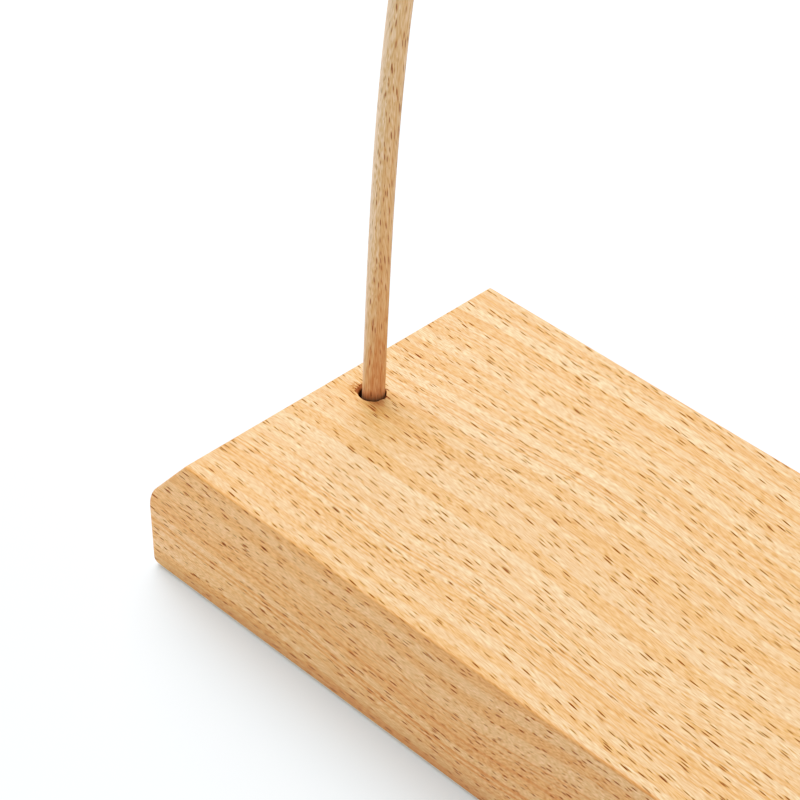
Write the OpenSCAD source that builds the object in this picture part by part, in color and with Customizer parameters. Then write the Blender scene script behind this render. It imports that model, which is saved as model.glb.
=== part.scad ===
// Paper towel holder: a long beech block that stands flat, and one thin beech rod bent into a bow.
// The rod's two ends stand loose in blind holes near the ends of the block. Pulled up, the bow
// comes out of the holes, a roll of paper is threaded over one end, and the bow is put back.
// Origin: bottom centre, where the foot pads meet the table. +X along the block, +Z up.

/* [Base block] */
// Length of the block
base_length = 380; // [330:1:440]
// Width of the block
base_width = 76; // [60:1:100]
// Thickness of the block
base_thickness = 29; // [24:0.5:36]
// How far the sloped end reaches in from the end face
slope_run = 11.2; // [6:0.1:14]
// Angle of the sloped end, from the table
slope_angle = 49; // [40:1:55]
// Radius that blends the slope into the end face
slope_blend_r = 8.4; // [4:0.1:10]
// Rounding along the lower edge of each end
lower_edge_r = 1.2; // [0.4:0.1:2]

/* [Holes for the bow] */
// Distance from the end face to the centre of the hole
hole_inset = 18.9; // [16:0.1:30]
// Diameter of the hole, loose on the rod so that the bow lifts out by hand
hole_d = 5; // [4.9:0.1:5.4]
// Depth of the hole
hole_depth = 8; // [7:0.5:10]

/* [Bow] */
// Diameter of the rod
rod_d = 4.2; // [4:0.05:4.2]
// Inward lean of the rod where it leaves the block, in degrees
bow_lean = 4; // [3:0.1:4]
// Chamfer on the rod's two ends
rod_end_chamfer = 0.4; // [0.2:0.1:0.8]

/* [Foot pads] */
// Diameter of a foot pad
pad_d = 12; // [8:0.5:20]
// Thickness of a foot pad
pad_thickness = 1.6; // [1.2:0.1:3]
// How far a foot pad stands out below the block
pad_proud = 0.5; // [0.3:0.1:1]
// Distance from the end face to a foot pad's centre
pad_inset_x = 30; // [25:1:60]
// Distance from the long face to a foot pad's centre
pad_inset_y = 14; // [12:1:25]

/* [Hidden] */
$fn = 96;

block_bottom = pad_proud;
block_top = block_bottom + base_thickness;
half_length = base_length / 2;
hole_x = half_length - hole_inset;

// Gap left between pieces that only touch
touch = 0.02;
rod_r = rod_d / 2;
// The foot of the rod leans on the outer wall at the bottom of its hole
foot_run = hole_depth * tan(bow_lean);
foot_shift = hole_d / 2 - rod_r - 0.03;
mouth_x = hole_x + foot_shift - foot_run;
// The rod stays straight for a short way above the block
foot_rise = 4;

// The bow is the curve of a springy rod held at its two ends: how sharply it bends grows in
// proportion to the height above the held point. On such a curve the height at which its tangent
// makes the angle a with the table is sqrt(2 * (cos(a) - cos(start))), here times a scale.
BOW_STEPS = 24;
ROD_SIDES = 24;
bow_start = 90 - bow_lean;
unit_height = sqrt(2 * (1 - cos(bow_start)));
unit_z = [for (i = [0:BOW_STEPS]) unit_height * sin(90 * i / BOW_STEPS)];
bow_angle = [for (z = unit_z) acos(min(1, cos(bow_start) + z * z / 2))];

// Run along the block of each step, as an arc that climbs from one of those heights to the next
unit_run = [
    for (i = [0:BOW_STEPS - 1])
        (unit_z[i + 1] - unit_z[i]) * (sin(bow_angle[i]) - sin(bow_angle[i + 1]))
            / (cos(bow_angle[i + 1]) - cos(bow_angle[i]))
];

function sum_to(values, n) = n == 0 ? 0 : values[n - 1] + sum_to(values, n - 1);

// The curve starts at the top of the rod's straight foot
curve_x = mouth_x - foot_rise * tan(bow_lean);
curve_z = block_top + foot_rise;
bow_scale = curve_x / sum_to(unit_run, BOW_STEPS);

// The straight foot runs from the curve's start down to just above the bottom of its hole
foot_length = (hole_depth - touch + foot_rise) / cos(bow_lean) - rod_r * tan(bow_lean);

// A station is a place along the block, a height, the angle of the tangent and the rod's radius.
// Here are the stations of the left half: the chamfered end, the foot, then the curve.
function foot_station(up, r) = [
    -curve_x - (foot_length - up) * cos(bow_start),
    curve_z - (foot_length - up) * sin(bow_start),
    bow_start,
    r
];
left_stations = concat(
    [foot_station(0, rod_r - rod_end_chamfer), foot_station(rod_end_chamfer, rod_r)],
    [
        for (i = [0:BOW_STEPS])
            [-curve_x + sum_to(unit_run, i) * bow_scale, curve_z + unit_z[i] * bow_scale, bow_angle[i], rod_r]
    ]
);
right_stations = [
    for (i = [len(left_stations) - 2:-1:0])
        let (s = left_stations[i])
        [-s[0], s[1], -s[2], s[3]]
];
bow_stations = concat(left_stations, right_stations);

// Foot pads: one near each corner of the block
PAD_SIDES = [[-1, -1], [1, -1], [1, 1], [-1, 1]];

function pad_place(i) = [
    PAD_SIDES[i][0] * (half_length - pad_inset_x),
    PAD_SIDES[i][1] * (base_width / 2 - pad_inset_y)
];

// Points of an arc about a centre, from one angle to another
function arc_points(centre, r, from, to, steps = 12) = [
    for (i = [0:steps])
        let (a = from + (to - from) * i / steps)
        [centre[0] + r * cos(a), centre[1] + r * sin(a)]
];

// One end of the block, seen from the front, from its lower edge up to the top crease
function end_outline() =
    let (
        blend_x = half_length - slope_blend_r,
        slope_drop = slope_run * tan(slope_angle),
        blend_z = block_top - slope_drop - slope_blend_r * tan((90 - slope_angle) / 2)
    )
    concat(
        arc_points([half_length - lower_edge_r, block_bottom + lower_edge_r], lower_edge_r, -90, 0, 6),
        arc_points([blend_x, blend_z], slope_blend_r, 0, 90 - slope_angle),
        [[half_length - slope_run, block_top]]
    );

function mirrored(points) = [for (i = [len(points) - 1:-1:0]) [-points[i][0], points[i][1]]];

module base_block() {
    color("burlywood")
        difference() {
            rotate([90, 0, 0])
                linear_extrude(height = base_width, center = true)
                    polygon(concat(end_outline(), mirrored(end_outline())));
            for (side = [-1, 1])
                translate([side * hole_x, 0, block_top - hole_depth])
                    cylinder(d = hole_d, h = hole_depth + 1);
            for (i = [0:3])
                translate([pad_place(i)[0], pad_place(i)[1], block_bottom - 1])
                    cylinder(d = pad_d + 2 * touch, h = 1 + pad_thickness - pad_proud + touch);
        }
}

// Points of the ring round the rod at one station
function ring(station) = [
    for (j = [0:ROD_SIDES - 1])
        let (a = 360 * j / ROD_SIDES, out = station[3] * cos(a))
        [station[0] - out * sin(station[2]), station[3] * sin(a), station[1] + out * cos(station[2])]
];

// The rod, swept from the end in the left hole, over the bow, to the end in the right hole
module bow_rod() {
    count = len(bow_stations);
    points = [for (station = bow_stations) each ring(station)];
    sides = [
        for (i = [0:count - 2])
            for (j = [0:ROD_SIDES - 1])
                let (k = (j + 1) % ROD_SIDES, low = i * ROD_SIDES, high = low + ROD_SIDES)
                [low + j, low + k, high + k, high + j]
    ];
    first_cap = [for (j = [ROD_SIDES - 1:-1:0]) j];
    last_cap = [for (j = [0:ROD_SIDES - 1]) (count - 1) * ROD_SIDES + j];
    color("tan")
        polyhedron(points, concat([first_cap], sides, [last_cap]), convexity = 4);
}

module foot_pad(i) {
    color("dimgray")
        translate([pad_place(i)[0], pad_place(i)[1], 0])
            cylinder(d = pad_d, h = pad_thickness);
}

base_block();
bow_rod();
foot_pad(0);  // foot_pad_1
foot_pad(1);  // foot_pad_2
foot_pad(2);  // foot_pad_3
foot_pad(3);  // foot_pad_4
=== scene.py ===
"""The looks of a beech paper towel holder: a block with two holes, and a thin rod bowed over it.

Lengths in constants are in millimetres and are turned into metres with MM where they are used.
+X runs along the block, in the plane of the bow, and +Z is up, as in the CAD model.
"""

import math

import bmesh
import bpy
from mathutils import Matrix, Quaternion, Vector, noise


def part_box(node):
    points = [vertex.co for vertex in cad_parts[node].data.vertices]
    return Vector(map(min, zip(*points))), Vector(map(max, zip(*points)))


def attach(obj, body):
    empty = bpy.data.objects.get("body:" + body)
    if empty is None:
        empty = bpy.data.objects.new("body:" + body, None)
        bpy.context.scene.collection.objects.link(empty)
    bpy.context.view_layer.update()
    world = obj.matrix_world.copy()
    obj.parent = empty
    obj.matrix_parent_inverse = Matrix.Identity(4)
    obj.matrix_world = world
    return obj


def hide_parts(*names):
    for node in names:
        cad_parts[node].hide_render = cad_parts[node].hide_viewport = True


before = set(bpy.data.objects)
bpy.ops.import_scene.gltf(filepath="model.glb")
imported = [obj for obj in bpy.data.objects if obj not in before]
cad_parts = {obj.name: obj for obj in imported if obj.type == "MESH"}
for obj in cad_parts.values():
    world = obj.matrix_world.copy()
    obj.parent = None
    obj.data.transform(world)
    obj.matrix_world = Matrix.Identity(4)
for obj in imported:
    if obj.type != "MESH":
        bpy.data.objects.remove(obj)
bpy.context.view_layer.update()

MM = 0.001

# Sizes that the CAD model has and its boxes do not tell
HOLE_INSET = 18.9
HOLE_RADIUS = 2.5
HOLE_DEPTH = 8.0
SLOPE_RUN = 11.2
SLOPE_ANGLE = math.radians(49)
SLOPE_BLEND_R = 8.4
LOWER_EDGE_R = 1.2
ROD_RADIUS = 2.1
ROD_END_CHAMFER = 0.4
BOW_LEAN = math.radians(4)
FOOT_RISE = 4.0
# Length of the bent rod along its middle, within a millimetre
ROD_LENGTH = 708.0

block_low, block_high = (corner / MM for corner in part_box("base_block"))
HALF_LENGTH = block_high.x
HALF_WIDTH = block_high.y
BLOCK_TOP = block_high.z
BLOCK_BOTTOM = block_low.z
HOLE_X = HALF_LENGTH - HOLE_INSET
PADS = ("foot_pad_1", "foot_pad_2", "foot_pad_3", "foot_pad_4")


# ---------------------------------------------------------------- camera

CAMERA_AZIMUTH = math.radians(46.95)
CAMERA_ELEVATION = math.radians(38.46)
CAMERA_ROLL = math.radians(0.86)
CAMERA_DISTANCE = 546.5
CAMERA_LENS = 136.5
CAMERA_SENSOR = 36.0
CAMERA_AIM = Vector((-165.98, 2.08, BLOCK_TOP))
CAMERA_NEAREST = 10.0
CAMERA_FURTHEST = 20000.0


def direction(azimuth, elevation):
    """Unit vector from the object towards a place seen at that azimuth and elevation."""
    return Vector(
        (
            math.sin(azimuth) * math.cos(elevation),
            -math.cos(azimuth) * math.cos(elevation),
            math.sin(elevation),
        )
    )


def add_camera():
    back = direction(CAMERA_AZIMUTH, CAMERA_ELEVATION)
    camera = bpy.data.objects.new("camera", bpy.data.cameras.new("camera"))
    camera.data.sensor_width = CAMERA_SENSOR
    camera.data.lens = CAMERA_LENS
    camera.location = (CAMERA_AIM + back * CAMERA_DISTANCE) * MM
    camera.rotation_mode = "QUATERNION"
    level = (-back).to_track_quat("-Z", "Y")
    camera.rotation_quaternion = level @ Quaternion((0, 0, 1), -CAMERA_ROLL)
    camera.data.clip_start = CAMERA_NEAREST * MM
    camera.data.clip_end = CAMERA_FURTHEST * MM
    bpy.context.scene.collection.objects.link(camera)
    bpy.context.scene.camera = camera


add_camera()


# ---------------------------------------------------------------- node helpers


class Tree:
    """Adds nodes to a material. An input is a value, which is set, or a socket, which is linked."""

    def __init__(self, material):
        material.use_nodes = True
        self.nodes = material.node_tree.nodes
        self.links = material.node_tree.links
        self.nodes.clear()

    def put(self, socket, value):
        if isinstance(value, bpy.types.NodeSocket):
            self.links.new(value, socket)
        elif value is not None:
            socket.default_value = value

    def add(self, kind, inputs=(), **settings):
        made = self.nodes.new(kind)
        for name, value in settings.items():
            setattr(made, name, value)
        for key, value in dict(inputs).items():
            self.put(made.inputs[key], value)
        return made

    def math(self, operation, a, b=None, c=None):
        made = self.add("ShaderNodeMath", operation=operation)
        for socket, value in zip(made.inputs, (a, b, c)):
            self.put(socket, value)
        return made.outputs[0]

    def length(self, vector):
        made = self.add("ShaderNodeVectorMath", operation="LENGTH")
        self.put(made.inputs[0], vector)
        return made.outputs["Value"]

    def scaled(self, vector, factors):
        made = self.add("ShaderNodeVectorMath", operation="MULTIPLY")
        self.put(made.inputs[0], vector)
        self.put(made.inputs[1], factors)
        return made.outputs[0]

    def added(self, vector, other):
        made = self.add("ShaderNodeVectorMath", operation="ADD")
        self.put(made.inputs[0], vector)
        self.put(made.inputs[1], other)
        return made.outputs[0]

    def noise(self, vector, scale=1.0, detail=2.0, roughness=0.5, dimensions="3D"):
        made = self.add("ShaderNodeTexNoise", noise_dimensions=dimensions)
        self.put(made.inputs["W" if dimensions == "1D" else "Vector"], vector)
        self.put(made.inputs["Scale"], scale)
        self.put(made.inputs["Detail"], detail)
        self.put(made.inputs["Roughness"], roughness)
        return made

    def ramp(self, value, low, high, to_low=0.0, to_high=1.0):
        """Smooth step from to_low, at low, to to_high, at high."""
        made = self.add("ShaderNodeMapRange", interpolation_type="SMOOTHSTEP")
        for key, number in zip(
            ("Value", "From Min", "From Max", "To Min", "To Max"),
            (value, low, high, to_low, to_high),
        ):
            self.put(made.inputs[key], number)
        return made.outputs[0]

    def mix(self, share, a, b):
        """Colour a, or colour b where share is 1."""
        made = self.add("ShaderNodeMix", data_type="RGBA")
        self.put(made.inputs[0], share)
        self.put(made.inputs[6], a)
        self.put(made.inputs[7], b)
        return made.outputs[2]

    def finish(self, shader):
        output = self.add("ShaderNodeOutputMaterial")
        self.links.new(shader.outputs[0], output.inputs["Surface"])


def colour(red, green, blue):
    """Linear colour from 0-255 display values."""

    def linear(value):
        share = value / 255
        return share / 12.92 if share <= 0.04045 else ((share + 0.055) / 1.055) ** 2.4

    return (linear(red), linear(green), linear(blue), 1.0)


# ---------------------------------------------------------------- beech

# Beech is full of rays, which show as short dark flecks along the grain. Each is a slim
# spindle inside the wood, so one field of them in space gives the right mark on every face.
# They lie a few degrees across the long streaks.
SLANT_ACROSS = 0.11
SLANT_UP = 0.03
# Share of its cell that the largest and the smallest spindle reach, and which field of cells it is
FLECK_REACH = (0.27, 0.19)
FINE_FLECK_REACH = (0.24, 0.14)
FLECK_SEED = 3.0
FINE_FLECK_SEED = 11.0

# Scales of noises, per mm: along the grain, then twice across it
DRIFT_SCALE = (0.016, 0.03, 0.03)
STREAK_SCALE = (0.018, 1.0, 1.0)
THREAD_SCALE = (0.2, 1.5, 1.5)
CLOUD_SCALE = (0.008, 0.05, 0.05)
# Width of the lane that the wandering grain keeps to
DRIFT = 5.0
# Density of the growth rings, 0 to 1: where the wood deepens, where a thin dark line lies, and
# how far to each side the line fades out
DEEP_DENSITY = (0.4, 0.62)
LINE_DENSITY = 0.53
LINE_FADE = 0.03
# How much red, green and blue follow the fibres
FIBRE_GAIN = (0.6, 1.0, 1.5)

# How strongly the layers show that are the same in the block and the rod. The threads' depth is
# a share of the fibres' depth.
PALE_STREAK_DEPTH = 0.28
WARM_STREAK_DEPTH = 0.26
LINE_DEPTH = 0.7
THREAD_DEPTH = 0.07
FINE_FLECK_DEPTH = 0.7
HALO_DEPTH = 0.6
ROUGHNESS_SPREAD = 0.06
MOST_SPECULAR = 0.28


def slanted(tree, place):
    """The same place, sheared so that lines along the first axis run askew to the streaks."""
    parts = tree.add("ShaderNodeSeparateXYZ", {0: place})
    along = parts.outputs[0]
    across = tree.math("MULTIPLY_ADD", along, SLANT_ACROSS, parts.outputs[1])
    up = tree.math("MULTIPLY_ADD", along, SLANT_UP, parts.outputs[2])
    return tree.add("ShaderNodeCombineXYZ", {0: along, 1: across, 2: up}).outputs[0]


def flecks(tree, grain, cell, reach, seed):
    """0 to 1 field of spindles along the grain, one in each cell, and 0 to 1 soft halo round each."""
    place = tree.scaled(grain, tuple(1 / side for side in cell))
    place = tree.added(place, (seed, seed * 1.7, seed * 2.3))
    cells = tree.add(
        "ShaderNodeTexVoronoi",
        {"Vector": place, "Scale": 1.0, "Randomness": 0.9},
        voronoi_dimensions="3D",
        feature="F1",
    )
    parts = tree.add("ShaderNodeSeparateColor", {0: cells.outputs["Color"]})
    largest, smallest = reach
    size = tree.ramp(parts.outputs[0], 0.0, 1.0, smallest, largest)
    near = tree.math("DIVIDE", cells.outputs["Distance"], size)
    core = tree.ramp(near, 1.0, 0.75, 0.0, 1.0)
    halo = tree.ramp(near, 1.55, 1.0, 0.0, 1.0)
    strength = tree.ramp(parts.outputs[1], 0.0, 1.0, 0.7, 1.0)
    return tree.math("MULTIPLY", core, strength), tree.math("MULTIPLY", halo, strength)


def grained(tree, tone, fields):
    """Lighter and darker fibres. Blue changes most and red least, so the dark ones are also warmer."""
    gain = 0.0
    for field, strength in fields:
        gain = tree.math("MULTIPLY_ADD", tree.math("SUBTRACT", field, 0.5), strength, gain)
    parts = {
        channel: tree.math("MULTIPLY_ADD", gain, share, 1.0)
        for channel, share in enumerate(FIBRE_GAIN)
    }
    factors = tree.add("ShaderNodeCombineXYZ", parts).outputs[0]
    return tree.scaled(tone, factors)


def beech(name, coordinates, look):
    """Beech wood. coordinates(tree) gives the place in it in mm, with the grain along the first axis."""
    material = bpy.data.materials.new(name)
    tree = Tree(material)
    place = coordinates(tree)

    # The grain wanders a little from a straight line
    drift = tree.noise(tree.scaled(place, DRIFT_SCALE), detail=1.0)
    drift = tree.scaled(tree.added(drift.outputs["Color"], (-0.5, -0.5, -0.5)), (0.0, DRIFT, DRIFT))
    grain = tree.added(place, drift)
    askew = slanted(tree, grain)

    # Growth rings round a pith that lies outside the piece
    pith = tree.added(grain, tuple(-value for value in look["pith"]))
    radius = tree.length(tree.scaled(pith, (0.0, 1.0, 1.0)))
    density = tree.noise(radius, look["band_scale"], 3.0, 0.6, "1D").outputs[0]
    bands = tree.ramp(density, *DEEP_DENSITY)
    off_line = tree.math("ABSOLUTE", tree.math("SUBTRACT", density, LINE_DENSITY))
    lines = tree.ramp(off_line, LINE_FADE, 0.0, 0.0, LINE_DEPTH)

    # Long soft streaks of fibre, fine fibres between them, and slow changes of tone
    streaks = tree.noise(tree.scaled(grain, STREAK_SCALE), detail=2.0, roughness=0.6).outputs[0]
    threads = tree.noise(tree.scaled(askew, THREAD_SCALE), detail=1.0).outputs[0]
    fibre = tree.noise(tree.scaled(askew, look["fibre_scale"]), detail=0.0).outputs[0]
    clouds = tree.noise(tree.scaled(place, CLOUD_SCALE), detail=2.0).outputs[0]

    core, halo = flecks(tree, askew, look["fleck_cell"], FLECK_REACH, FLECK_SEED)
    fine_core, _ = flecks(
        tree, askew, look["fine_fleck_cell"], FINE_FLECK_REACH, FINE_FLECK_SEED
    )

    tone = tree.mix(tree.math("MULTIPLY", bands, look["band_depth"]), look["light"], look["deep"])
    warm = tree.math("MULTIPLY", tree.ramp(clouds, 0.42, 0.72), look["cloud_depth"])
    tone = tree.mix(warm, tone, look["warm"])
    tone = tree.mix(tree.ramp(streaks, 0.52, 0.68, 0.0, PALE_STREAK_DEPTH), tone, look["pale"])
    tone = tree.mix(tree.ramp(streaks, 0.48, 0.32, 0.0, WARM_STREAK_DEPTH), tone, look["warm"])
    tone = tree.mix(lines, tone, look["line"])
    depth = look["grain_depth"]
    tone = grained(tree, tone, ((fibre, depth), (threads, depth * THREAD_DEPTH)))
    tone = tree.mix(tree.math("MULTIPLY", fine_core, FINE_FLECK_DEPTH), tone, look["halo"])
    tone = tree.mix(tree.math("MULTIPLY", halo, HALO_DEPTH), tone, look["halo"])
    tone = tree.mix(tree.math("MULTIPLY", core, look["fleck_depth"]), tone, look["fleck"])
    for finishing in look["finishing"]:
        tone = finishing(tree, place, tone)

    hollow = tree.math("ADD", core, tree.math("MULTIPLY", fine_core, 0.3))
    height = tree.math("SUBTRACT", tree.math("MULTIPLY", fibre, 0.5), hollow)
    bump = tree.add(
        "ShaderNodeBump",
        {"Strength": 0.4, "Distance": look["relief"] * MM, "Height": height},
    )
    # The flecks, and the insides of the holes with their painted shade, are dark, and have no sheen
    shade = tree.add("ShaderNodeRGBToBW", {0: tone}).outputs[0]
    smoothest = look["roughness"] - ROUGHNESS_SPREAD
    roughest = look["roughness"] + ROUGHNESS_SPREAD
    shader = tree.add(
        "ShaderNodeBsdfPrincipled",
        {
            "Base Color": tone,
            "Roughness": tree.ramp(streaks, 0.3, 0.7, smoothest, roughest),
            "Normal": bump.outputs[0],
            "Specular IOR Level": tree.ramp(shade, 0.02, 0.25, 0.0, MOST_SPECULAR),
        },
    )
    tree.finish(shader)
    return material


def block_place(tree):
    """The place in the block, in mm. Its grain runs along X."""
    spot = tree.add("ShaderNodeTexCoord").outputs["Object"]
    return tree.scaled(spot, (1 / MM,) * 3)


def rod_place(tree):
    """The place in the rod as if it were straight, in mm."""
    spot = tree.add("ShaderNodeAttribute", attribute_name="grain").outputs["Vector"]
    return tree.scaled(spot, (1 / MM,) * 3)


SAWN_TONE = colour(206, 150, 92)
SAWN_RAY_TONE = colour(236, 196, 142)
# Steps of the noise that makes the rays, for each radian round the pith
RAYS_PER_RADIAN = 170.0


def end_grain(tree, place, tone):
    """Sawn across the grain, beech is darker, with fine pale rays fanning out from the pith."""
    share = tree.add("ShaderNodeAttribute", attribute_name="end_grain").outputs["Fac"]
    darker = tree.mix(tree.math("MULTIPLY", share, 0.55), tone, SAWN_TONE)
    parts = tree.add("ShaderNodeSeparateXYZ", {0: place})
    across = tree.math("SUBTRACT", parts.outputs[1], BLOCK_LOOK["pith"][1])
    up = tree.math("SUBTRACT", parts.outputs[2], BLOCK_LOOK["pith"][2])
    fan = tree.math("MULTIPLY", tree.math("ARCTAN2", up, across), RAYS_PER_RADIAN)
    rays = tree.noise(fan, 1.0, 1.0, 0.5, "1D").outputs[0]
    rays = tree.math("MULTIPLY", tree.ramp(rays, 0.56, 0.66), tree.math("MULTIPLY", share, 0.5))
    return tree.mix(rays, darker, SAWN_RAY_TONE)


# Depths below a long face between which the face's own colours come in
SIDE_SKIN = (0.6, 0.15)
# Distances from the block's ends between which the wood deepens, and how much it does
DEEPENING = (5.0, 110.0)
DEEPER = (0.98, 0.96, 0.92)
# Tints of the long faces at the ends and in the middle: partly their own redder colour, partly painted
# shade, as they take less light than the top
SIDE_TINT_AND_SHADE_AT_ENDS = (1.13, 0.985, 0.95, 1.0)
SIDE_TINT_AND_SHADE_IN_MIDDLE = (1.04, 0.87, 0.86, 1.0)
# Distances from the upper and the lower edge of a long face between which its rims come in. The lower
# rim is painted shade, darker towards the floor.
UPPER_RIM = (0.7, 0.25)
LOWER_RIM_SHADE = (5.0, 0.3)
UPPER_RIM_TONE = colour(224, 150, 84)
LOWER_RIM_SHADE_TONE = colour(202, 138, 82)


def side_faces(tree, place, tone):
    """The board is deeper in tone towards its middle. Its long sides are redder, partly their own colour
    and partly painted shade, with browner rims, of which the lower is painted shade.
    """
    parts = tree.add("ShaderNodeSeparateXYZ", {0: place})
    height = parts.outputs[2]
    from_middle = tree.math("ABSOLUTE", parts.outputs[0])
    from_plane = tree.math("ABSOLUTE", parts.outputs[1])
    side = tree.ramp(from_plane, HALF_WIDTH - SIDE_SKIN[0], HALF_WIDTH - SIDE_SKIN[1])
    middle = tree.ramp(from_middle, HALF_LENGTH - DEEPENING[0], HALF_LENGTH - DEEPENING[1])
    tone = tree.mix(middle, tone, tree.scaled(tone, DEEPER))
    # Painted shade, together with the long faces' own redder colour
    side_tint_and_shade = tree.mix(middle, SIDE_TINT_AND_SHADE_AT_ENDS, SIDE_TINT_AND_SHADE_IN_MIDDLE)
    tone = tree.mix(side, tone, tree.scaled(tone, side_tint_and_shade))
    upper = tree.ramp(height, BLOCK_TOP - UPPER_RIM[0], BLOCK_TOP - UPPER_RIM[1], 0.0, 0.3)
    # The lower rim: painted shade along the bottom edge
    lower = tree.ramp(height, BLOCK_BOTTOM + LOWER_RIM_SHADE[0], BLOCK_BOTTOM + LOWER_RIM_SHADE[1], 0.0, 0.55)
    tone = tree.mix(tree.math("MULTIPLY", side, upper), tone, UPPER_RIM_TONE)
    return tree.mix(tree.math("MULTIPLY", side, lower), tone, LOWER_RIM_SHADE_TONE)


def patch(tree, spot, centre, size, soft=0.5):
    """0 to 1 mask of an ellipse on the top of the block."""
    shifted = tree.added(spot, (-centre[0], -centre[1], 0.0))
    shaped = tree.scaled(shifted, (1 / size[0], 1 / size[1], 0.0))
    return tree.ramp(tree.length(shaped), 1.0, 1.0 - soft)


# Marks round a hole: centre, measured from the hole's axis, and half size. Each is given outward
# along the block, then across it.
# The first is the rod's soft shadow, painted on the top in front of the hole
ROD_SHADOW = ((-7.0, -4.5), (27.0, 13.0))
TEAR = ((2.9, -0.9), (2.3, 2.0))
GOUGE = ((-1.35, 2.55), (0.75, 0.22))
# Tint of that painted shadow
ROD_SHADOW_TINT = (0.94, 0.75, 0.48)
TORN_TONE = colour(182, 104, 34)
LIFTED_TONE = colour(192, 116, 48)
GOUGED_TONE = colour(104, 52, 20)
# Torn wood with painted shade on the chipped rim, then the painted shade inside a hole
BROKEN_AND_SHADED_TONE = colour(146, 78, 28)
BORE_SHADE_TONE = colour(34, 16, 7)


def hole_marks_and_shade(tree, place, tone):
    """Round each hole: a painted soft shadow of the rod in front of it, the wood torn on the outer side,
    and painted shade inside.
    """
    parts = tree.add("ShaderNodeSeparateXYZ", {0: place})
    height = parts.outputs[2]
    outward = tree.math("SUBTRACT", tree.math("ABSOLUTE", parts.outputs[0]), HOLE_X)
    spot = tree.add("ShaderNodeCombineXYZ", {0: outward, 1: parts.outputs[1]}).outputs[0]
    # Painted soft shadow of the rod in front of the hole, a little more towards the block's end, fading
    # down from the top
    rod_shadow = patch(tree, spot, *ROD_SHADOW, soft=0.9)
    rod_shadow = tree.math("MAXIMUM", rod_shadow, tree.ramp(outward, -20.0, 12.0, 0.0, 0.25))
    rod_shadow = tree.math("MULTIPLY", rod_shadow, tree.ramp(height, BLOCK_TOP - 14.0, BLOCK_TOP, 0.0, 0.55))
    tone = tree.mix(rod_shadow, tone, tree.scaled(tone, ROD_SHADOW_TINT))

    ragged = tree.noise(tree.scaled(place, (1.3, 4.5, 1.3)), detail=3.0, roughness=0.7).outputs[0]
    torn = tree.math("MULTIPLY", patch(tree, spot, *TEAR), tree.ramp(ragged, 0.42, 0.52))
    tone = tree.mix(tree.math("MULTIPLY", torn, 0.9), tone, TORN_TONE)
    # Only the lifted fibres stand above the top
    lifted = tree.ramp(height, BLOCK_TOP + 0.01, BLOCK_TOP + 0.06, 0.0, 0.8)
    tone = tree.mix(lifted, tone, LIFTED_TONE)
    gouge = patch(tree, spot, *GOUGE, soft=0.6)
    tone = tree.mix(tree.math("MULTIPLY", gouge, 0.85), tone, GOUGED_TONE)

    # The rim is broken away just below the top, where torn wood and painted shade darken it, and painted
    # shade darkens the bored wall as it goes down
    reach = tree.length(spot)
    broken_and_shaded = tree.math(
        "MULTIPLY",
        tree.ramp(reach, HOLE_RADIUS + 2.5, HOLE_RADIUS + 2.0),
        tree.ramp(height, BLOCK_TOP - 0.01, BLOCK_TOP - 0.08, 0.0, 0.85),
    )
    tone = tree.mix(broken_and_shaded, tone, BROKEN_AND_SHADED_TONE)
    bore_shade = tree.math(
        "MULTIPLY",
        tree.ramp(reach, HOLE_RADIUS + 0.5, HOLE_RADIUS + 0.05),
        tree.ramp(height, BLOCK_TOP - 0.05, BLOCK_TOP - 0.75, 0.0, 0.97),
    )
    return tree.mix(bore_shade, tone, BORE_SHADE_TONE)


# Direction across the rod in which a painted highlight lies, on the side that the light falls on
PAINTED_LIGHT_WAY = (-0.72, 0.69)
# Tones of the painted highlight and of the painted shade beside it
PAINTED_LIGHT_TONE = colour(245, 208, 170)
PAINTED_SHADE_TONE = colour(208, 152, 102)


def rod_light_and_shade(tree, place, tone):
    """Painted light and shade on the rod: a pale painted highlight down one side, and browner painted
    shade beside it.
    """
    parts = tree.add("ShaderNodeSeparateXYZ", {0: place})
    across = tree.math(
        "MULTIPLY_ADD",
        parts.outputs[1],
        PAINTED_LIGHT_WAY[0] / ROD_RADIUS,
        tree.math("MULTIPLY", parts.outputs[2], PAINTED_LIGHT_WAY[1] / ROD_RADIUS),
    )
    wander = tree.noise(tree.scaled(place, (0.03, 0.3, 0.3)), detail=1.0).outputs[0]
    across = tree.math("MULTIPLY_ADD", tree.math("SUBTRACT", wander, 0.5), 0.8, across)
    # pale is the painted highlight, the next mask the painted shade
    pale = tree.ramp(across, 0.45, 1.0, 0.0, 0.35)
    painted_rod_shade = tree.math("MULTIPLY", tree.ramp(across, 0.7, 0.0), tree.ramp(across, -0.95, -0.6, 0.0, 0.25))
    tone = tree.mix(pale, tone, PAINTED_LIGHT_TONE)
    return tree.mix(painted_rod_shade, tone, PAINTED_SHADE_TONE)


# Distances from the rod's ends between which the wood darkens, partly a stain and partly painted shade,
# and how much it does
STAIN_AND_SHADE = (48.0, 14.0)
STAIN_AND_SHADE_TINT = (0.86, 0.76, 0.66)
# The same for the painted shade where the rod enters its hole, from just above the hole down
MOUTH_SHADE = (HOLE_DEPTH + 2.6, HOLE_DEPTH - 0.2)
MOUTH_SHADE_TINT = (0.36, 0.27, 0.2)


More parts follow.
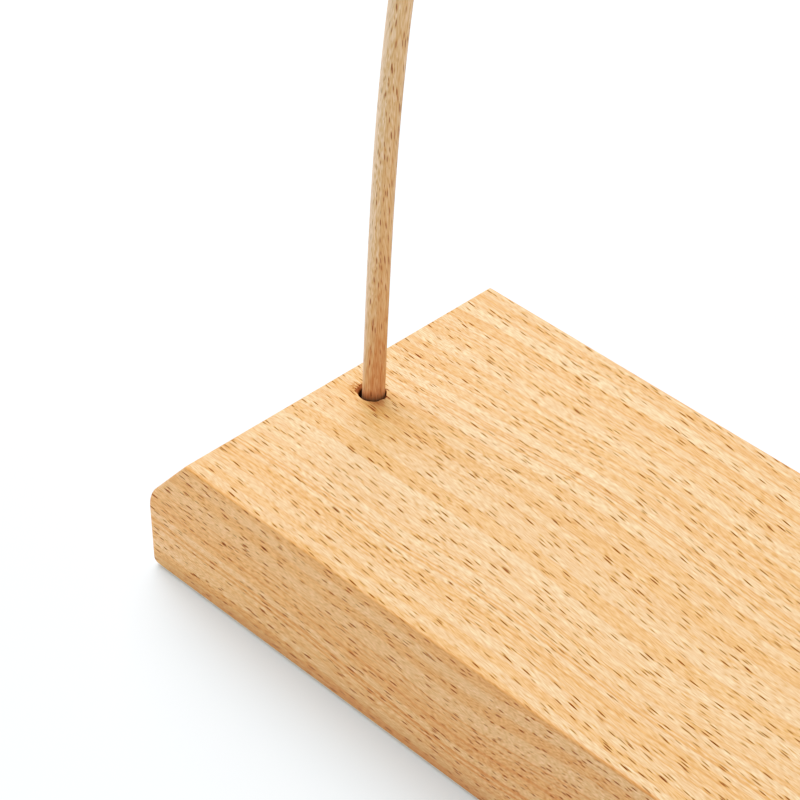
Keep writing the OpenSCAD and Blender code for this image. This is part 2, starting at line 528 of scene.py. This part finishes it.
def feet_stain_and_shade(tree, place, tone):
    """The rod darkens near its feet, partly a stain and partly painted shade, and painted shade darkens
    it where it enters its hole.
    """
    along = tree.add("ShaderNodeSeparateXYZ", {0: place}).outputs[0]
    from_end = tree.math("MINIMUM", along, tree.math("SUBTRACT", ROD_LENGTH, along))
    # Partly a stain, partly painted shade
    share = tree.ramp(from_end, *STAIN_AND_SHADE, 0.0, 0.5)
    tone = tree.mix(share, tone, tree.scaled(tone, STAIN_AND_SHADE_TINT))
    # Painted shade where the rod enters its hole
    mouth_shade = tree.ramp(from_end, *MOUTH_SHADE, 0.0, 0.85)
    return tree.mix(mouth_shade, tone, tree.scaled(tone, MOUTH_SHADE_TINT))


# Tones, then sizes: a cell holds one fleck, in mm along the grain and twice across it. A depth
# says how strongly a layer shows, and the pith's place is in the wood's own coordinates.
BLOCK_LOOK = {
    "light": colour(240, 190, 134),
    "deep": colour(231, 164, 98),
    "warm": colour(227, 155, 85),
    "pale": colour(246, 201, 145),
    "line": colour(218, 138, 66),
    "halo": colour(214, 134, 44),
    "fleck": colour(88, 34, 0),
    "fleck_cell": (5.2, 0.54, 0.64),
    "fine_fleck_cell": (3.4, 0.34, 0.42),
    "fleck_depth": 1.0,
    "fibre_scale": (0.6, 8.0, 8.0),
    "grain_depth": 1.3,
    "pith": (0.0, 150.0, -90.0),
    "band_scale": 0.36,
    "band_depth": 0.85,
    "cloud_depth": 0.36,
    "relief": 0.05,
    "roughness": 0.6,
    "finishing": (side_faces, end_grain, hole_marks_and_shade),
}
ROD_LOOK = {
    "light": colour(243, 197, 152),
    "deep": colour(231, 180, 129),
    "warm": colour(222, 164, 110),
    "pale": colour(240, 206, 168),
    "line": colour(206, 142, 84),
    "halo": colour(186, 118, 56),
    "fleck": colour(84, 42, 14),
    "fleck_cell": (4.6, 0.44, 0.44),
    "fine_fleck_cell": (3.0, 0.32, 0.32),
    "fleck_depth": 0.85,
    "fibre_scale": (0.3, 5.5, 5.5),
    "grain_depth": 1.1,
    "pith": (0.0, 14.0, -9.0),
    "band_scale": 0.5,
    "band_depth": 0.6,
    "cloud_depth": 0.4,
    "relief": 0.05,
    "roughness": 0.62,
    "finishing": (rod_light_and_shade, feet_stain_and_shade),
}


# ---------------------------------------------------------------- rubber

RUBBER_DARK = colour(38, 38, 39)
RUBBER_LIGHT = colour(52, 52, 53)
RUBBER_RELIEF = 0.04


def rubber():
    """Matt black rubber with a fine grit, for the foot pads."""
    material = bpy.data.materials.new("soft_rubber")
    tree = Tree(material)
    place = block_place(tree)
    grit = tree.noise(place, 6.0, 3.0, 0.6).outputs[0]
    bump = tree.add("ShaderNodeBump", {"Strength": 0.4, "Distance": RUBBER_RELIEF * MM, "Height": grit})
    tone = tree.mix(tree.ramp(grit, 0.3, 0.7), RUBBER_DARK, RUBBER_LIGHT)
    shader = tree.add(
        "ShaderNodeBsdfPrincipled",
        {"Base Color": tone, "Roughness": 0.8, "Normal": bump.outputs[0], "Specular IOR Level": 0.3},
    )
    tree.finish(shader)
    return material


# ---------------------------------------------------------------- mesh helpers


def add_mesh(name, bm, material, body, node):
    """Turns a bmesh in millimetres into a piece of the object, which stands for that CAD node."""
    bmesh.ops.scale(bm, vec=(MM, MM, MM), verts=bm.verts)
    mesh = bpy.data.meshes.new(name)
    bm.to_mesh(mesh)
    bm.free()
    mesh.materials.append(material)
    piece = bpy.data.objects.new(name, mesh)
    bpy.context.scene.collection.objects.link(piece)
    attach(piece, body)
    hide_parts(node)


def loft(bm, rings, smooth=lambda i, j: False):
    """Joins rings of points into a closed solid. smooth(i, j) says if a quad is shaded round."""
    made = [[bm.verts.new(point) for point in ring] for ring in rings]
    count = len(made[0])
    for i in range(len(made) - 1):
        for j in range(count):
            k = (j + 1) % count
            face = bm.faces.new((made[i][j], made[i][k], made[i + 1][k], made[i + 1][j]))
            face.smooth = smooth(i, j)
    bm.faces.new(reversed(made[0]))
    bm.faces.new(made[-1])
    return made


def arc(centre, radius, start, end, steps):
    """Points of an arc, with both ends."""
    return [
        (
            centre[0] + radius * math.cos(start + (end - start) * i / steps),
            centre[1] + radius * math.sin(start + (end - start) * i / steps),
        )
        for i in range(steps + 1)
    ]


DISC_SIDES = 64


def disc_ring(centre, radius, z):
    """Points of a level circle."""
    turns = (2 * math.pi * j / DISC_SIDES for j in range(DISC_SIDES))
    return [
        (centre.x + radius * math.cos(turn), centre.y + radius * math.sin(turn), z)
        for turn in turns
    ]


# ---------------------------------------------------------------- block

# Rounding of the crease over each slope, and of the edges of the long faces
CREASE_R = 0.7
EDGE_R = 0.42
EDGE_STEPS = 6
LOWER_STEPS = 8
BLEND_STEPS = 28
# A stretch of the outline longer than this is a flat face
FLAT_FROM = 3.0


def end_outline():
    """Right end of the block seen from the front, from the lower edge up to the crease."""
    drop = SLOPE_RUN * math.tan(SLOPE_ANGLE)
    turn = math.pi / 2 - SLOPE_ANGLE
    blend_centre = (
        HALF_LENGTH - SLOPE_BLEND_R,
        BLOCK_TOP - drop - SLOPE_BLEND_R * math.tan(turn / 2),
    )
    lower_centre = (HALF_LENGTH - LOWER_EDGE_R, BLOCK_BOTTOM + LOWER_EDGE_R)
    crease_centre = (
        HALF_LENGTH - SLOPE_RUN - CREASE_R * math.tan(SLOPE_ANGLE / 2),
        BLOCK_TOP - CREASE_R,
    )
    return (
        arc(lower_centre, LOWER_EDGE_R, -math.pi / 2, 0, LOWER_STEPS)
        + arc(blend_centre, SLOPE_BLEND_R, 0, turn, BLEND_STEPS)
        + arc(crease_centre, CREASE_R, turn, math.pi / 2, EDGE_STEPS)
    )


def block_outline():
    """The block seen from the front."""
    right = end_outline()
    return right + [(-x, z) for x, z in reversed(right)]


def inset_outline(points, inset):
    """A closed outline moved inward by the same distance all round."""
    moved = []
    count = len(points)
    for i, (x, z) in enumerate(points):
        before, after = points[i - 1], points[(i + 1) % count]
        first = Vector((x - before[0], z - before[1])).normalized()
        second = Vector((after[0] - x, after[1] - z)).normalized()
        inward = Vector((-first.y, first.x)) + Vector((-second.y, second.x))
        inward = inward.normalized() / max(0.2, inward.length / 2)
        moved.append((x + inward.x * inset, z + inward.y * inset))
    return moved


def block_rings():
    """Outlines across the width, drawn in at both long faces so that their edges are eased."""
    outline = block_outline()
    eased = [math.pi / 2 * (1 - i / EDGE_STEPS) for i in range(EDGE_STEPS + 1)]
    stations = [
        (-HALF_WIDTH + EDGE_R * (1 - math.sin(a)), EDGE_R * (1 - math.cos(a))) for a in eased
    ]
    stations += [(-y, inset) for y, inset in reversed(stations)]
    return [
        [(x, y, z) for x, z in inset_outline(outline, inset)] for y, inset in stations
    ]


def chip(angle, seed):
    """How far the rim of a hole has broken away at that angle, 0 to 1. The fibre tears where it ends."""
    along = abs(math.cos(angle)) ** 3
    ragged = noise.noise(Vector((math.cos(angle) * 1.7, math.sin(angle) * 2.6, seed)))
    fine = noise.noise(Vector((math.cos(angle) * 6, math.sin(angle) * 9, seed + 5)))
    return max(0.0, along * (0.55 + 0.9 * ragged) + 0.35 * fine * along)


HOLE_SIDES = 96
# How a hole widens at its rim: height over the top of the block, and share of the widening there
HOLE_PROFILE = (
    (-HOLE_DEPTH, 0.0),
    (-0.5, 0.0),
    (-0.3, 0.25),
    (-0.15, 0.6),
    (-0.05, 0.85),
    (0.0, 1.0),
    (1.0, 1.3),
)
# Widening of the rim by wear, and by chips on its worn side, with their share on the other side
RIM_WEAR = 0.12
RIM_CHIPS = 1.15
OTHER_SIDE = 0.35


def hole_cutter(bm, end, seed):
    """The space of the hole at that end, -1 or 1. Its rim is torn more on the side of the end face."""
    rings = []
    for height, flare in HOLE_PROFILE:
        ring = []
        for j in range(HOLE_SIDES):
            angle = 2 * math.pi * j / HOLE_SIDES
            worn = 1.0 if math.cos(angle) * end > 0 else OTHER_SIDE
            out = HOLE_RADIUS + flare * (RIM_WEAR + RIM_CHIPS * worn * chip(angle, seed))
            across = out * math.sin(angle)
            ring.append((end * HOLE_X + out * math.cos(angle), across, BLOCK_TOP + height))
        rings.append(ring)
    loft(bm, rings, smooth=lambda i, j: i == 0)


# Fibres still hanging at the torn rim of a hole: place across the grain, inner and outer end
# measured from the hole's axis, width, and how far the inner end has lifted
TORN_FIBRES = (
    (-1.75, 2.5, 4.4, 0.26, 0.10),
    (-1.25, 2.9, 4.9, 0.34, 0.16),
    (-0.70, 2.8, 4.3, 0.22, 0.20),
    (-0.20, 3.1, 4.7, 0.30, 0.12),
    (0.45, 2.9, 4.1, 0.24, 0.18),
)
FIBRE_STEPS = 6
# Section of a fibre: half widths to the side, and height over its middle
FIBRE_SECTION = ((-1, 0.0), (0, 0.045), (1, 0.0), (0, -0.05))
# How deep a fibre's outer end is sunk in the wood, and how far it swerves
FIBRE_SUNK = 0.03
FIBRE_SWERVE = 0.12


def torn_fibre(bm, end, fibre):
    """One thin splinter along the grain, sunk in the wood at its outer end and lifted at the inner."""
    across, inner, outer, width, lift = fibre
    rings = []
    for i in range(FIBRE_STEPS + 1):
        share = i / FIBRE_STEPS
        along = outer + (inner - outer) * share
        rise = lift * share**2 - FIBRE_SUNK
        half = width / 2 * (0.35 + 0.65 * math.sin(math.pi * (0.12 + 0.76 * share)))
        swerve = across + FIBRE_SWERVE * math.sin(2.4 * share + across * 3)
        rings.append(
            [
                (end * HOLE_X + end * along, swerve + end * side * half, BLOCK_TOP + rise + up)
                for side, up in FIBRE_SECTION
            ]
        )
    loft(bm, rings)


# Each hole: the end of the block it is at, the seed of its chips, and its hanging fibres
HOLES = ((-1, 2.0, TORN_FIBRES), (1, 7.0, TORN_FIBRES[1:3]))
# Room round a foot pad in its recess, and over it
PAD_ROOM = 0.03
PAD_HEADROOM = 0.02


def pad_cutter(bm, node):
    """The space of a foot pad's recess, from below the table up."""
    low, high = (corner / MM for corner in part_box(node))
    centre = (low + high) / 2
    radius = (high.x - low.x) / 2 + PAD_ROOM
    rings = [disc_ring(centre, radius, z) for z in (-1.0, high.z + PAD_HEADROOM)]
    loft(bm, rings, smooth=lambda i, j: True)


def loose_object(name, bm):
    """A helper for the boolean cut, which is no piece of the object."""
    mesh = bpy.data.meshes.new(name)
    bmesh.ops.recalc_face_normals(bm, faces=bm.faces)
    bm.to_mesh(mesh)
    bm.free()
    made = bpy.data.objects.new(name, mesh)
    bpy.context.scene.collection.objects.link(made)
    return made


def cut(solid, cutter):
    """The solid's mesh with the cutter's space taken away, as a bmesh. Both helpers are removed."""
    modifier = solid.modifiers.new("cut", "BOOLEAN")
    modifier.operation = "DIFFERENCE"
    modifier.solver = "EXACT"
    modifier.object = cutter
    depsgraph = bpy.context.evaluated_depsgraph_get()
    mesh = bpy.data.meshes.new_from_object(solid.evaluated_get(depsgraph))
    result = bmesh.new()
    result.from_mesh(mesh)
    for helper in (solid, cutter):
        bpy.data.objects.remove(helper)
    bpy.data.meshes.remove(mesh)
    return result


# Where end grain begins to show, as the normal's part along the grain, and the range to its full look
END_GRAIN_FROM = 0.25
END_GRAIN_RANGE = 0.45


def mark_end_grain(bm):
    """Stores how much each face looks along the grain, for the wood."""
    layer = bm.faces.layers.float.new("end_grain")
    for face in bm.faces:
        along = abs(face.normal.x)
        face[layer] = min(1.0, max(0.0, (along - END_GRAIN_FROM) / END_GRAIN_RANGE))


def add_block():
    """The block, with its holes and recesses cut out of it and the torn fibres at its holes."""
    solid = bmesh.new()
    outline = block_outline()
    flat = {
        j
        for j, point in enumerate(outline)
        if math.dist(point, outline[(j + 1) % len(outline)]) > FLAT_FROM
    }
    # The quads between the two eased edges run the whole width of the block
    loft(solid, block_rings(), smooth=lambda i, j: i != EDGE_STEPS or j not in flat)
    cutter = bmesh.new()
    for end, seed, _ in HOLES:
        hole_cutter(cutter, end, seed)
    for node in PADS:
        pad_cutter(cutter, node)
    bm = cut(loose_object("block_solid", solid), loose_object("block_cutter", cutter))
    for end, _, fibres in HOLES:
        for fibre in fibres:
            torn_fibre(bm, end, fibre)
    bm.normal_update()
    mark_end_grain(bm)
    add_mesh(
        "beech_block",
        bm,
        beech("beech_block", block_place, BLOCK_LOOK),
        "base",
        "base_block",
    )


# ---------------------------------------------------------------- bow

BOW_STEPS = 150
FOOT_STEPS = 8
ROD_SIDES = 48
# The rod is not quite round: the most that its surface dips below its radius
ROD_UNEVENNESS = 0.03


def bow_curve():
    """Left half of the bow from its straight foot to the top: (x, z, tangent's angle), in mm.

    The curve is that of a springy rod: it bends in proportion to its height above its feet.
    """
    start = math.pi / 2 - BOW_LEAN
    unit_top = math.sqrt(2 * (1 - math.cos(start)))
    heights = [unit_top * math.sin(math.pi / 2 * i / BOW_STEPS) for i in range(BOW_STEPS + 1)]
    angles = [math.acos(min(1.0, math.cos(start) + z * z / 2)) for z in heights]
    runs = [0.0]
    for i in range(BOW_STEPS):
        rise = heights[i + 1] - heights[i]
        run_per_rise = (math.sin(angles[i]) - math.sin(angles[i + 1])) / (
            math.cos(angles[i + 1]) - math.cos(angles[i])
        )
        runs.append(runs[-1] + rise * run_per_rise)
    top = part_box("bow_rod")[1].z / MM - ROD_RADIUS
    scale = (top - BLOCK_TOP - FOOT_RISE) / unit_top
    half_span = runs[-1] * scale
    return [
        (run * scale - half_span, BLOCK_TOP + FOOT_RISE + z * scale, a)
        for run, z, a in zip(runs, heights, angles)
    ]


def rod_stations():
    """Stations all along the rod: (x, z, tangent's angle, radius)."""
    curve = bow_curve()
    foot_x, foot_z, lean = curve[0]
    foot_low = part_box("bow_rod")[0].z / MM + ROD_RADIUS * math.cos(lean)
    length = (foot_z - foot_low) / math.sin(lean)
    # Places up the foot with their radius: the rounded end, then the straight foot
    rises = (
        (0.0, ROD_RADIUS - ROD_END_CHAMFER),
        (ROD_END_CHAMFER / 2, ROD_RADIUS - 0.3 * ROD_END_CHAMFER),
        (ROD_END_CHAMFER, ROD_RADIUS),
    )
    rises += tuple((length * i / FOOT_STEPS, ROD_RADIUS) for i in range(1, FOOT_STEPS))
    foot = [
        (
            foot_x - (length - up) * math.cos(lean),
            foot_z - (length - up) * math.sin(lean),
            lean,
            radius,
        )
        for up, radius in rises
    ]
    left = foot + [(x, z, a, ROD_RADIUS) for x, z, a in curve]
    right = [(-x, z, -a, radius) for x, z, a, radius in reversed(left[:-1])]
    return left + right


def add_bow():
    """The rod's mesh. Each point also stores its place in the straight rod, for the wood."""
    bm = bmesh.new()
    layer = bm.verts.layers.float_vector.new("grain")
    rings, marks = [], []
    travelled, before = 0.0, None
    for x, z, angle, radius in rod_stations():
        if before:
            travelled += math.hypot(x - before[0], z - before[1])
        before = (x, z)
        ring, mark = [], []
        for j in range(ROD_SIDES):
            turn = 2 * math.pi * j / ROD_SIDES
            uneven = noise.noise(Vector((travelled * 0.05, math.cos(turn), math.sin(turn))))
            reach = radius - ROD_UNEVENNESS * max(0.0, uneven)
            out, side = reach * math.cos(turn), reach * math.sin(turn)
            ring.append((x - out * math.sin(angle), side, z + out * math.cos(angle)))
            mark.append(Vector((travelled, side, out)) * MM)
        rings.append(ring)
        marks.append(mark)
    made = loft(bm, rings, smooth=lambda i, j: i > 0)
    for ring, mark in zip(made, marks):
        for vertex, value in zip(ring, mark):
            vertex[layer] = value
    add_mesh(
        "bow", bm, beech("beech_rod", rod_place, ROD_LOOK), "bow", "bow_rod"
    )


# ---------------------------------------------------------------- foot pads

PAD_RIM_R = 0.25
PAD_RIM_STEPS = 5


def add_pad(node, material):
    """A rubber disc with softened rims."""
    low, high = (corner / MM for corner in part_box(node))
    centre = (low + high) / 2
    rim_centre = (high.x - low.x) / 2 - PAD_RIM_R
    lower = arc((rim_centre, low.z + PAD_RIM_R), PAD_RIM_R, -math.pi / 2, 0, PAD_RIM_STEPS)
    upper = arc((rim_centre, high.z - PAD_RIM_R), PAD_RIM_R, 0, math.pi / 2, PAD_RIM_STEPS)
    rings = [disc_ring(centre, out, z) for out, z in lower + upper]
    bm = bmesh.new()
    loft(bm, rings, smooth=lambda i, j: True)
    add_mesh("pad_" + node[-1], bm, material, "base", node)


# ---------------------------------------------------------------- floor and light

# The floor is a square that reaches this far to each side of the object's middle
FLOOR_REACH = 4000.0
FLOOR_COLOUR = (0.86, 0.945, 1.0, 1.0)
# A little light of the floor's own keeps the shadow as pale as in a white studio
GLOW_COLOUR = (0.75, 1.0, 1.0, 1.0)
GLOW_STRENGTH = 0.16

KEY_AZIMUTH = math.radians(245)
KEY_ELEVATION = math.radians(52)
KEY_DISTANCE = 1600.0
KEY_SIZE = 1400.0
KEY_POWER = 40.0

# Brightness of the surroundings, as they light the object and as the camera sees them
WORLD_STRENGTH = 0.66
WORLD_SEEN_STRENGTH = 1.7

# Points of the tone curve between black and white, and the level that counts as white
FILM_CURVE = ((0.12, 0.19), (0.25, 0.40), (0.464, 0.631), (0.794, 0.913))
FILM_WHITE = 1.6


def add_floor():
    """A pale floor, which belongs to the stage and not to the object."""
    bm = bmesh.new()
    bmesh.ops.create_grid(bm, x_segments=8, y_segments=8, size=FLOOR_REACH * MM)
    mesh = bpy.data.meshes.new("floor")
    bm.to_mesh(mesh)
    bm.free()
    material = bpy.data.materials.new("floor_white")
    tree = Tree(material)
    white = tree.add("ShaderNodeBsdfDiffuse", {"Color": FLOOR_COLOUR, "Roughness": 0.0})
    glow = tree.add("ShaderNodeEmission", {"Color": GLOW_COLOUR, "Strength": GLOW_STRENGTH})
    tree.finish(tree.add("ShaderNodeAddShader", {0: white.outputs[0], 1: glow.outputs[0]}))
    mesh.materials.append(material)
    floor = bpy.data.objects.new("floor", mesh)
    bpy.context.scene.collection.objects.link(floor)


def add_key_light():
    """One large soft light, high up beyond the block's left end and a little behind it."""
    data = bpy.data.lights.new("key", "AREA")
    data.shape = "SQUARE"
    data.size = KEY_SIZE * MM
    data.energy = KEY_POWER
    lamp = bpy.data.objects.new("key", data)
    towards = direction(KEY_AZIMUTH, KEY_ELEVATION)
    lamp.location = towards * (KEY_DISTANCE * MM)
    lamp.rotation_mode = "QUATERNION"
    lamp.rotation_quaternion = towards.to_track_quat("Z", "Y")
    bpy.context.scene.collection.objects.link(lamp)


def add_world():
    """Even white surroundings, brighter where the camera sees them directly."""
    world = bpy.data.worlds.new("studio")
    bpy.context.scene.world = world
    world.use_nodes = True
    nodes, links = world.node_tree.nodes, world.node_tree.links
    nodes.clear()
    path = nodes.new("ShaderNodeLightPath")
    level = nodes.new("ShaderNodeMapRange")
    level.inputs["To Min"].default_value = WORLD_STRENGTH
    level.inputs["To Max"].default_value = WORLD_SEEN_STRENGTH
    background = nodes.new("ShaderNodeBackground")
    output = nodes.new("ShaderNodeOutputWorld")
    links.new(path.outputs["Is Camera Ray"], level.inputs["Value"])
    links.new(level.outputs[0], background.inputs["Strength"])
    links.new(background.outputs[0], output.inputs["Surface"])


def set_film():
    """A soft shoulder, as a camera gives: bright tones are drawn together below white."""
    settings = bpy.context.scene.view_settings
    settings.view_transform = "Standard"
    settings.look = "None"
    settings.use_curve_mapping = True
    mapping = settings.curve_mapping
    mapping.white_level = (FILM_WHITE,) * 3
    curve = mapping.curves[3]
    curve.points[0].location = (0.0, 0.0)
    curve.points[1].location = (1.0, 1.0)
    for x, y in FILM_CURVE:
        curve.points.new(x, y)
    mapping.update()


add_block()
add_bow()
pad_material = rubber()
for pad in PADS:
    add_pad(pad, pad_material)

add_floor()
add_world()
add_key_light()
set_film()
